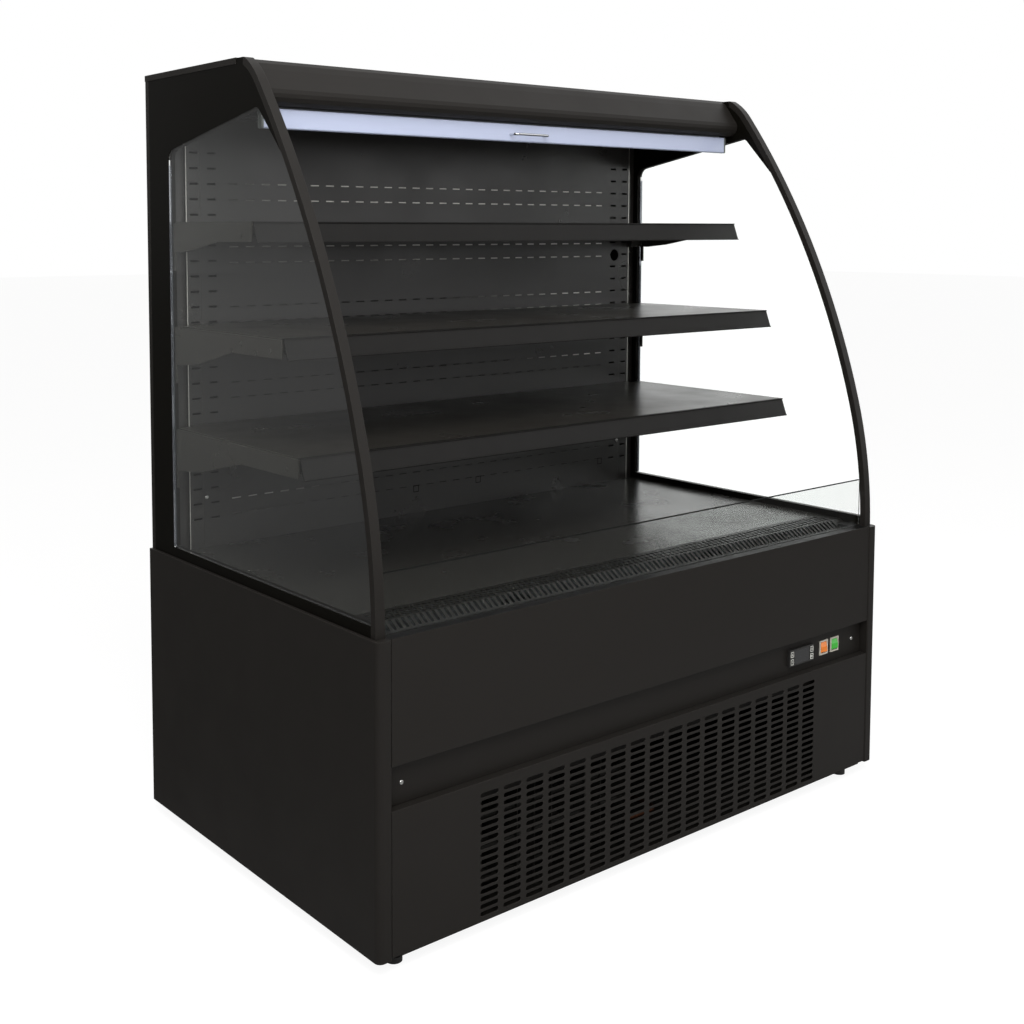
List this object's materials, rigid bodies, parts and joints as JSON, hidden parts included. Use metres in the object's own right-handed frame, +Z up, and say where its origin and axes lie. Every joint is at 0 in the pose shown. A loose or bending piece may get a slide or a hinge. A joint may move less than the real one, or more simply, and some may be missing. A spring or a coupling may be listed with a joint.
{
  "type": "open multideck display fridge",
  "caption": "Open multideck display fridge: low panelled cabinet with a grille front, a deck and shelves between glazed ends with bowed edges, and a pull-down night blind.",
  "frame": {"origin": "on the floor under the middle of the fridge", "axes": "+X to the right of someone facing the fridge, the front faces -Y, +Z up"},
  "size_m": [1.3, 0.77, 1.455],
  "materials": {
    "black_coat": "satin black powder coat",
    "zinc_steel": "zinc-coated sheet",
    "foamed_black": "foamed panel with a black skin",
    "foamed_grey": "foamed panel with a pale skin",
    "clear_glass": "clear",
    "black_plastic": "moulded, fine grain",
    "grey_plastic": "moulded, fine grain",
    "display_lens": "polished",
    "orange_plastic": "translucent",
    "green_plastic": "translucent",
    "lamp_cover": "opal",
    "chrome_wire": "polished",
    "bar_aluminium": "satin",
    "coil_aluminium": "mill",
    "blind_fabric": "woven",
    "copper_tube": "bare"
  },
  "bodies": {
    "cabinet": {"air_honeycomb": "black_plastic", "back_panel": "black_coat", "base_frame": "black_coat", "canopy_fascia": "black_coat", "canopy_liner": "black_coat", "compressor": "black_coat", "condenser_coil": "black_coat", "control_plate": "black_coat", "controller_body": "black_plastic", "controller_display": "display_lens", "drain_pan": "black_plastic", "edge_bar_left": "black_coat", "edge_bar_right": "black_coat", "end_frame_left": "black_coat", "end_frame_right": "black_coat", "end_glass_left": "clear_glass", "end_glass_right": "clear_glass", "evaporator_coil": "coil_aluminium", "evaporator_fan_plate": "zinc_steel", "fan_motors": "black_coat", "fan_shroud": "black_coat", "front_panel": "black_coat", "insulated_tub": "foamed_grey", "led_lamp": "lamp_cover", "levelling_feet": "black_plastic", "panel_screws": "zinc_steel", "rear_cover": "zinc_steel", "rear_wall": "foamed_black", "refrigerant_pipes": "copper_tube", "riser_glass": "clear_glass", "rocker_frames": "grey_plastic", "shelf_uprights": "black_coat", "side_panel_left": "black_coat", "side_panel_right": "black_coat", "top_panel": "foamed_black"},
    "blind": {"blind_bar": "bar_aluminium", "blind_handle": "chrome_wire", "blind_cloth": "blind_fabric"},
    "blind_roller_body": {"blind_roller": "blind_fabric"},
    "defrost_rocker_body": {"defrost_rocker": "orange_plastic"},
    "light_rocker_body": {"light_rocker": "green_plastic"},
    "key_up_left_body": {"key_up_left": "black_plastic"},
    "key_down_left_body": {"key_down_left": "black_plastic"},
    "key_up_right_body": {"key_up_right": "black_plastic"},
    "key_down_right_body": {"key_down_right": "black_plastic"},
    "grille_body": {"lower_grille_panel": "black_coat"},
    "return_grille_body": {"air_return_grille": "black_coat"},
    "deck_body": {"deck_tray": "black_coat"},
    "shelf_1_body": {"shelf_1": "black_coat", "shelf_1_price_rail": "black_plastic", "shelf_1_brackets": "black_coat"},
    "shelf_2_body": {"shelf_2": "black_coat", "shelf_2_price_rail": "black_plastic", "shelf_2_brackets": "black_coat"},
    "shelf_3_body": {"shelf_3": "black_coat", "shelf_3_price_rail": "black_plastic", "shelf_3_brackets": "black_coat"},
    "condenser_fan_body": {"condenser_fan": "black_plastic"},
    "evaporator_fan_left_body": {"evaporator_fan_left": "black_plastic"},
    "evaporator_fan_right_body": {"evaporator_fan_right": "black_plastic"}
  },
  "joints": [
    {"name": "blind_slide", "type": "slide", "parent": "cabinet", "child": "blind", "axis": [0, -0.4417, -0.8972], "range_m": [0, 0.763], "stiffness_N_per_m": 20, "springref_m": -1.5, "deforming": ["blind_cloth"]},
    {"name": "blind_roller_turn", "type": "hinge", "parent": "cabinet", "child": "blind_roller_body", "pos_m": [0, 0.0375, 1.4], "axis": [1, 0, 0], "range_deg": [0, 2090]},
    {"name": "defrost_rocker_swing", "type": "hinge", "parent": "cabinet", "child": "defrost_rocker_body", "pos_m": [0.496, -0.3617, 0.299], "axis": [1, 0, 0], "range_deg": [0, 24]},
    {"name": "light_rocker_swing", "type": "hinge", "parent": "cabinet", "child": "light_rocker_body", "pos_m": [0.5325, -0.3617, 0.299], "axis": [1, 0, 0], "range_deg": [0, 24]},
    {"name": "key_up_left_press", "type": "slide", "parent": "cabinet", "child": "key_up_left_body", "axis": [0, 1, 0], "range_m": [0, 0.0005], "stiffness_N_per_m": 400, "springref_m": -0.0005},
    {"name": "key_down_left_press", "type": "slide", "parent": "cabinet", "child": "key_down_left_body", "axis": [0, 1, 0], "range_m": [0, 0.0005], "stiffness_N_per_m": 400, "springref_m": -0.0005},
    {"name": "key_up_right_press", "type": "slide", "parent": "cabinet", "child": "key_up_right_body", "axis": [0, 1, 0], "range_m": [0, 0.0005], "stiffness_N_per_m": 400, "springref_m": -0.0005},
    {"name": "key_down_right_press", "type": "slide", "parent": "cabinet", "child": "key_down_right_body", "axis": [0, 1, 0], "range_m": [0, 0.0005], "stiffness_N_per_m": 400, "springref_m": -0.0005},
    {"name": "lower_grille_pull", "type": "slide", "parent": "cabinet", "child": "grille_body", "axis": [0, -1, 0], "range_m": [0, 0.12]},
    {"name": "return_grille_lift", "type": "slide", "parent": "cabinet", "child": "return_grille_body", "axis": [0, 0, 1], "range_m": [0, 0.04]},
    {"name": "deck_lift", "type": "slide", "parent": "cabinet", "child": "deck_body", "axis": [0, 0, 1], "range_m": [0, 0.04]},
    {"name": "shelf_1_tilt", "type": "hinge", "parent": "cabinet", "child": "shelf_1_body", "pos_m": [0, 0.3, 1.1598], "axis": [-1, 0, 0], "range_deg": [0, 8]},
    {"name": "shelf_2_tilt", "type": "hinge", "parent": "cabinet", "child": "shelf_2_body", "pos_m": [0, 0.3, 0.965], "axis": [-1, 0, 0], "range_deg": [0, 8]},
    {"name": "shelf_3_tilt", "type": "hinge", "parent": "cabinet", "child": "shelf_3_body", "pos_m": [0, 0.3, 0.7701], "axis": [-1, 0, 0], "range_deg": [0, 8]},
    {"name": "condenser_fan_spin", "type": "hinge", "parent": "cabinet", "child": "condenser_fan_body", "pos_m": [-0.25, -0.281, 0.178], "axis": [0, 1, 0], "continuous": true},
    {"name": "evaporator_fan_left_spin", "type": "hinge", "parent": "cabinet", "child": "evaporator_fan_left_body", "pos_m": [-0.26, -0.268, 0.456], "axis": [0, 1, 0], "continuous": true},
    {"name": "evaporator_fan_right_spin", "type": "hinge", "parent": "cabinet", "child": "evaporator_fan_right_body", "pos_m": [0.26, -0.268, 0.456], "axis": [0, 1, 0], "continuous": true}
  ],
  "couplings": [
    {"joint": "blind_roller_turn", "follows": "blind_slide", "rad_per_m": 47.62}
  ]
}
